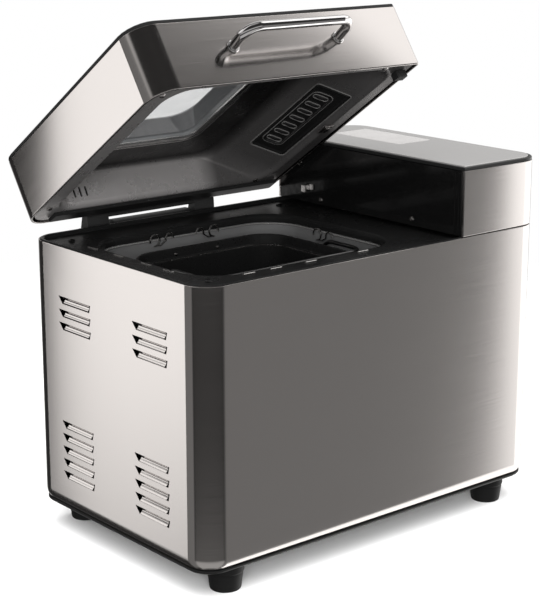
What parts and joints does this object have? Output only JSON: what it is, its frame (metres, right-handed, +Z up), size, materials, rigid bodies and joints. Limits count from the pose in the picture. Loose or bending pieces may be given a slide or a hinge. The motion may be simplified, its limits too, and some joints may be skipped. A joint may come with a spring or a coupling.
{
  "type": "bread machine",
  "caption": "Countertop bread machine: steel body with a lift-out pan and kneader, hinged windowed lid with an ingredient dispenser, and a raised touch-panel end.",
  "frame": {"origin": "middle of the bounding box, lid open as at rest, on the plane the feet stand on", "axes": "+Z up, +X towards the machine's right where the control panel is, +Y towards its back where the lid is hinged"},
  "size_m": [0.37, 0.277, 0.4381],
  "materials": {
    "brushed_steel": "fine horizontal brushing",
    "chrome": "polished",
    "coated_sheet": "satin coated sheet",
    "black_moulding": "satin",
    "gloss_black": "gloss",
    "rubber": "matt",
    "panel_grey": "gloss over a metallic grey",
    "non_stick": "satin non-stick coating",
    "aluminium": "plain",
    "glazing": "clear, slightly tinted",
    "circuit_board": "varnished board"
  },
  "bodies": {
    "machine": {"base_tray": "black_moulding", "foot_front_left": "rubber", "foot_front_right": "rubber", "foot_rear_left": "rubber", "foot_rear_right": "rubber", "body_wrap": "brushed_steel", "power_inlet": "black_moulding", "deck": "black_moulding", "oven_chamber": "coated_sheet", "heating_element": "aluminium", "temperature_sensor": "aluminium", "pan_clip_left": "chrome", "pan_clip_right": "chrome", "pan_clip_side": "chrome", "pan_socket": "aluminium", "drive_bearing": "aluminium", "drive_belt": "rubber", "motor": "aluminium", "motor_bracket": "coated_sheet", "power_board": "circuit_board", "transformer": "coated_sheet", "transformer_shelf": "coated_sheet", "head_wrap": "brushed_steel", "head_side_panel": "gloss_black", "head_frame": "black_moulding", "control_panel": "panel_grey", "display_window": "glazing", "display_module": "gloss_black", "control_board": "circuit_board", "release_solenoid": "coated_sheet", "hinge_bracket_left": "black_moulding", "hinge_bracket_right": "black_moulding", "hinge_pin_left": "chrome", "hinge_pin_right": "chrome", "hinge_cover": "black_moulding"},
    "drive": {"drive_shaft": "aluminium", "drive_pulley": "black_moulding"},
    "rotor": {"motor_shaft": "aluminium", "motor_pulley": "aluminium"},
    "pan": {"bread_pan": "non_stick"},
    "bail": {"pan_handle": "chrome"},
    "kneader": {"kneader_shaft": "aluminium", "kneading_paddle": "non_stick"},
    "lid": {"lid_wrap": "brushed_steel", "lid_cap": "black_moulding", "lid_panel": "panel_grey", "lid_window": "glazing", "window_well": "black_moulding", "inner_window": "glazing", "lid_liner": "coated_sheet", "lid_rear_rail": "black_moulding", "lid_peg": "black_moulding", "lid_handle": "chrome", "dispenser_hopper": "black_moulding", "hinge_arm_left": "black_moulding", "hinge_arm_right": "black_moulding", "hinge_bar": "black_moulding"},
    "flap": {"dispenser_flap": "non_stick"},
    "cover": {"dispenser_cover": "gloss_black"},
    "pin": {"release_pin": "chrome"}
  },
  "joints": [
    {"name": "lid_hinge", "type": "hinge", "parent": "machine", "child": "lid", "pos_m": [-0.05025, 0.11137, 0.24], "axis": [-1, 0, 0], "range_deg": [-34.4, 40]},
    {"name": "pan_lift", "type": "slide", "parent": "machine", "child": "pan", "axis": [0, 0, 1], "range_m": [0, 0.06]},
    {"name": "pan_handle_swing", "type": "hinge", "parent": "pan", "child": "bail", "pos_m": [-0.0525, -0.02353, 0.2285], "axis": [-1, 0, 0], "range_deg": [0, 159]},
    {"name": "drive_spin", "type": "hinge", "parent": "machine", "child": "drive", "pos_m": [-0.0525, -0.02353, 0.042], "axis": [0, 0, 1], "continuous": true},
    {"name": "kneader_spin", "type": "hinge", "parent": "pan", "child": "kneader", "pos_m": [-0.0525, -0.02353, 0.1015], "axis": [0, 0, 1], "continuous": true},
    {"name": "motor_spin", "type": "hinge", "parent": "machine", "child": "rotor", "pos_m": [0.125, -0.02353, 0.042], "axis": [0, 0, 1], "continuous": true},
    {"name": "flap_hinge", "type": "hinge", "parent": "lid", "child": "flap", "pos_m": [0.0614, 0.01454, 0.32852], "axis": [0, -0.8251, 0.565], "range_deg": [0, 45]},
    {"name": "cover_hinge", "type": "hinge", "parent": "lid", "child": "cover", "pos_m": [0.06, 0.04373, 0.37115], "axis": [0, 0.8251, -0.565], "range_deg": [0, 95]},
    {"name": "release_pin_slide", "type": "slide", "parent": "machine", "child": "pin", "axis": [-1, 0, 0], "range_m": [0, 0.0025], "stiffness_N_per_m": 300}
  ],
  "couplings": [
    {"joint": "kneader_spin", "follows": "drive_spin", "ratio": 1},
    {"joint": "motor_spin", "follows": "drive_spin", "ratio": 5}
  ]
}
